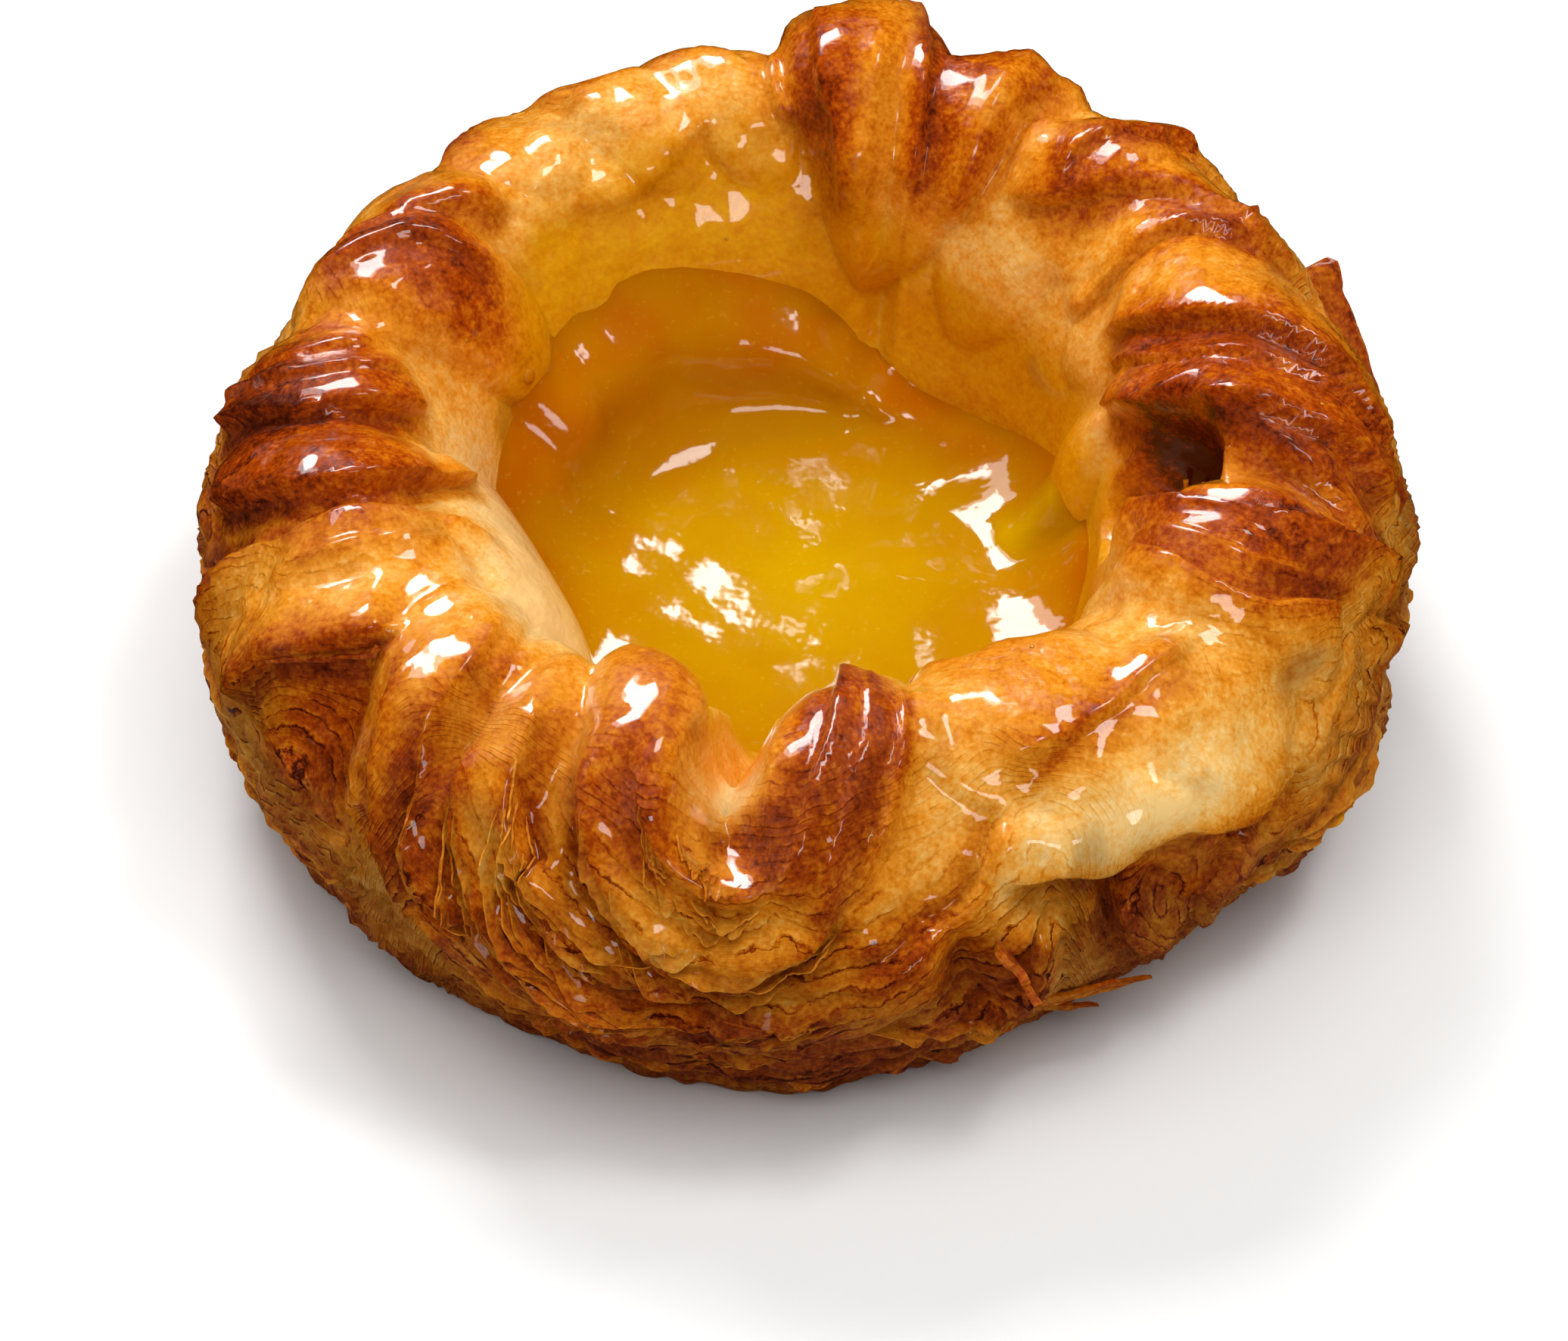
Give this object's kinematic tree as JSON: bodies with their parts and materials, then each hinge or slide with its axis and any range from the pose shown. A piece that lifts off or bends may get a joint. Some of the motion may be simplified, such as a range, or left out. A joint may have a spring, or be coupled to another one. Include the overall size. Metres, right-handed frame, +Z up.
{
  "type": "custard danish pastry",
  "caption": "Round danish pastry: a tall ring of folded, risen dough with a deep well that is part filled with custard.",
  "frame": {"origin": "middle of the outline, on the surface that the pastry stands on", "axes": "+Z up out of the well, -Y towards the notch in the rim"},
  "size_m": [0.105, 0.1046, 0.0424],
  "materials": {
    "crust": "glazed golden-brown baked dough",
    "custard": "moist set custard, glossy"
  },
  "bodies": {
    "root": {"pastry": "crust", "custard": "custard"}
  },
  "joints": []
}
